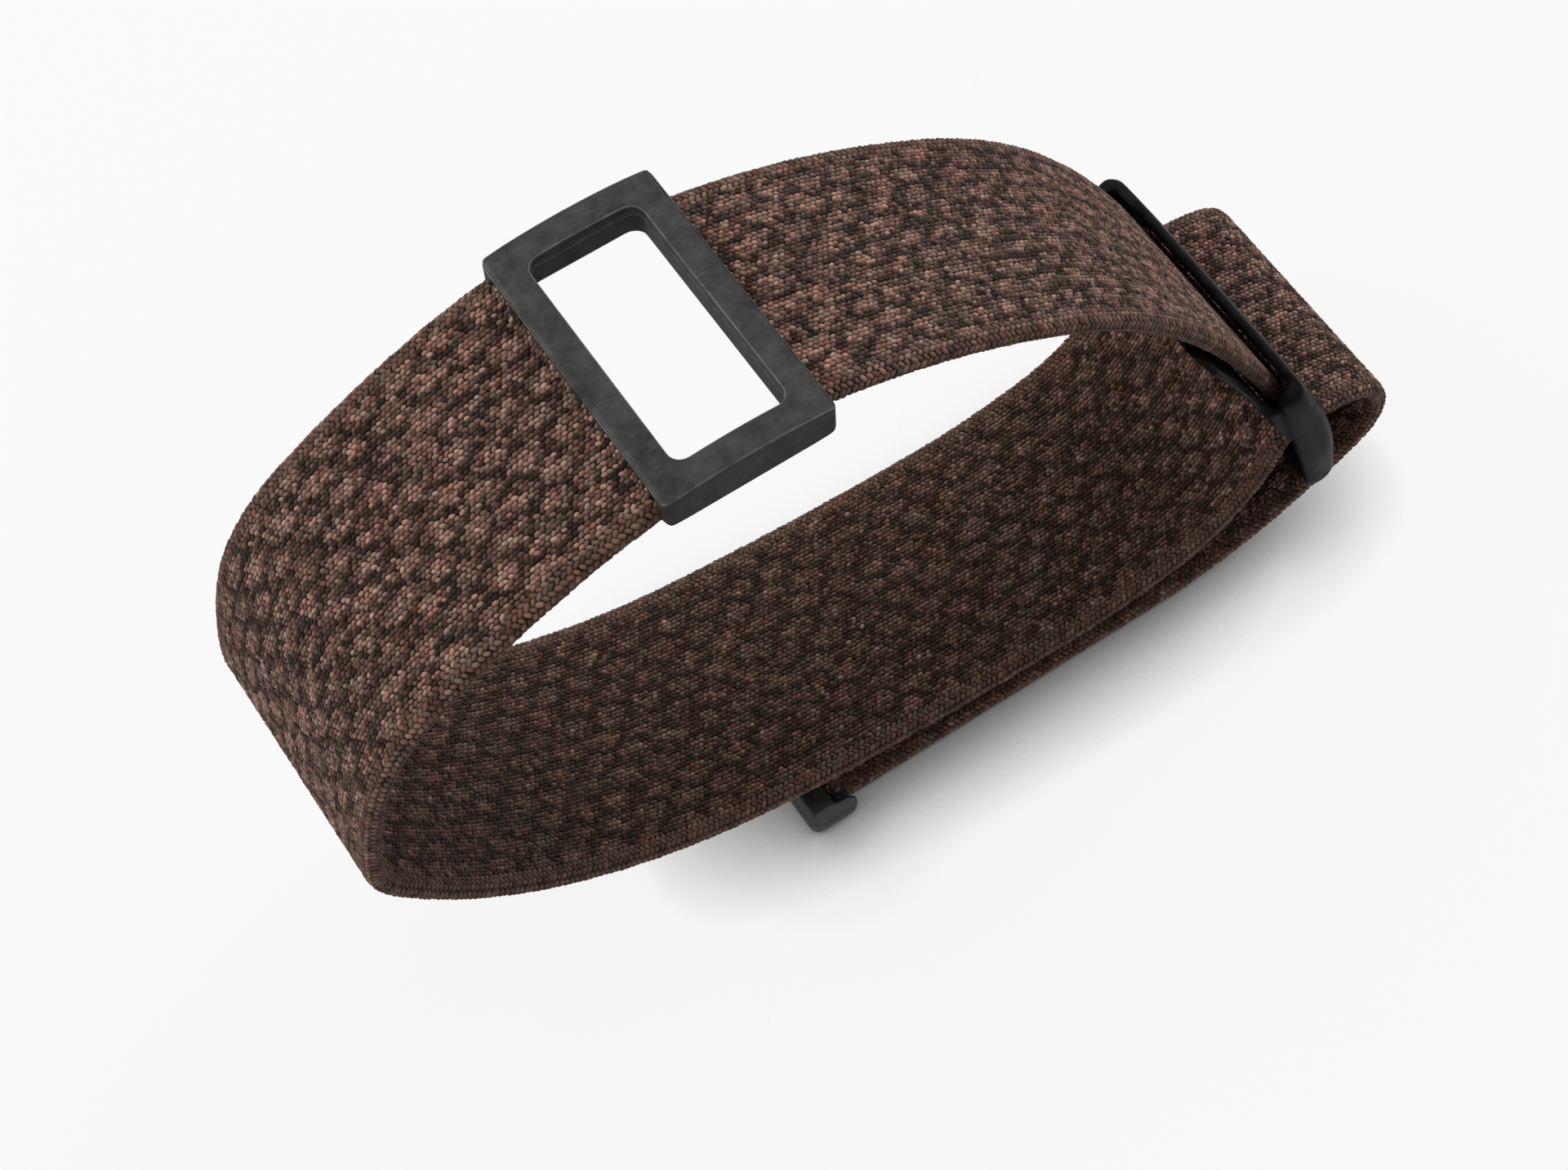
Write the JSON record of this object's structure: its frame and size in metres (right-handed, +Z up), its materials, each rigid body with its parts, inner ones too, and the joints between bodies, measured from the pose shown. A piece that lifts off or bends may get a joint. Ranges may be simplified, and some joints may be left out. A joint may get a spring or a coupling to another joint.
{
  "type": "fitness band strap",
  "caption": "Knitted wrist band closed into a loose hoop: open rectangular sensor frame, strap folded back through a ring, flat end clip.",
  "frame": {"origin": "middle of the band's footprint, on the surface that it lies on", "axes": "+X along the band towards the ring and the fold, +Y across the strap, +Z up through the sensor frame"},
  "size_m": [0.092, 0.0254, 0.0606],
  "materials": {
    "frame_satin": "fine bead-blasted, dark anodised",
    "knit": "heathered brown double knit",
    "black_metal": "black satin coating",
    "hook_tape": "fine moulded hooks",
    "loop_tape": "napped loops",
    "bar_steel": "turned",
    "spring_steel": "drawn wire"
  },
  "bodies": {
    "tail": {"strap_tail": "knit", "hook_patch": "hook_tape"},
    "clip": {"end_clip": "black_metal"},
    "hoop": {"long_strap": "knit", "loop_patch": "loop_tape", "left_barrel": "bar_steel", "left_coil": "spring_steel"},
    "frame": {"pod_frame": "frame_satin"},
    "short": {"short_strap": "knit", "right_barrel": "bar_steel", "right_coil": "spring_steel", "ring_barrel": "bar_steel", "ring_coil": "spring_steel"},
    "ring": {"ring_link": "black_metal"},
    "left_near_tip": {"left_tip_near": "bar_steel"},
    "left_far_tip": {"left_tip_far": "bar_steel"},
    "right_near_tip": {"right_tip_near": "bar_steel"},
    "right_far_tip": {"right_tip_far": "bar_steel"},
    "ring_near_tip": {"ring_tip_near": "bar_steel"},
    "ring_far_tip": {"ring_tip_far": "bar_steel"}
  },
  "joints": [
    {"name": "tail_peel", "type": "hinge", "parent": "tail", "child": "hoop", "pos_m": [0.04518, 0, 0.01159], "axis": [0, 1, 0], "range_deg": [0, 25]},
    {"name": "frame_rock", "type": "hinge", "parent": "hoop", "child": "frame", "pos_m": [-0.0194, 0, 0.05831], "axis": [0, 1, 0], "range_deg": [-4, 4], "stiffness_Nm_per_rad": 0.3},
    {"name": "short_strap_turn", "type": "hinge", "parent": "frame", "child": "short", "pos_m": [-0.0076, 0, 0.05831], "axis": [0, 1, 0], "range_deg": [-5, 5]},
    {"name": "ring_swing", "type": "hinge", "parent": "short", "child": "ring", "pos_m": [0.03516, 0, 0.01983], "axis": [0, 1, 0], "range_deg": [-3.5, 0]},
    {"name": "clip_swing", "type": "hinge", "parent": "tail", "child": "clip", "pos_m": [-0.00817, 0, 0.0011], "axis": [0, 1, 0], "range_deg": [0, 25]},
    {"name": "left_near_tip_press", "type": "slide", "parent": "hoop", "child": "left_near_tip", "axis": [0, 1, 0], "range_m": [0, 0.0007], "stiffness_N_per_m": 1},
    {"name": "left_far_tip_press", "type": "slide", "parent": "hoop", "child": "left_far_tip", "axis": [0, -1, 0], "range_m": [0, 0.0007], "stiffness_N_per_m": 1},
    {"name": "right_near_tip_press", "type": "slide", "parent": "short", "child": "right_near_tip", "axis": [0, 1, 0], "range_m": [0, 0.0007], "stiffness_N_per_m": 1},
    {"name": "right_far_tip_press", "type": "slide", "parent": "short", "child": "right_far_tip", "axis": [0, -1, 0], "range_m": [0, 0.0007], "stiffness_N_per_m": 1},
    {"name": "ring_near_tip_press", "type": "slide", "parent": "short", "child": "ring_near_tip", "axis": [0, 1, 0], "range_m": [0, 0.0007], "stiffness_N_per_m": 1},
    {"name": "ring_far_tip_press", "type": "slide", "parent": "short", "child": "ring_far_tip", "axis": [0, -1, 0], "range_m": [0, 0.0007], "stiffness_N_per_m": 1}
  ],
  "couplings": [
    {"joint": "short_strap_turn", "follows": "frame_rock", "ratio": -1.1425}
  ]
}
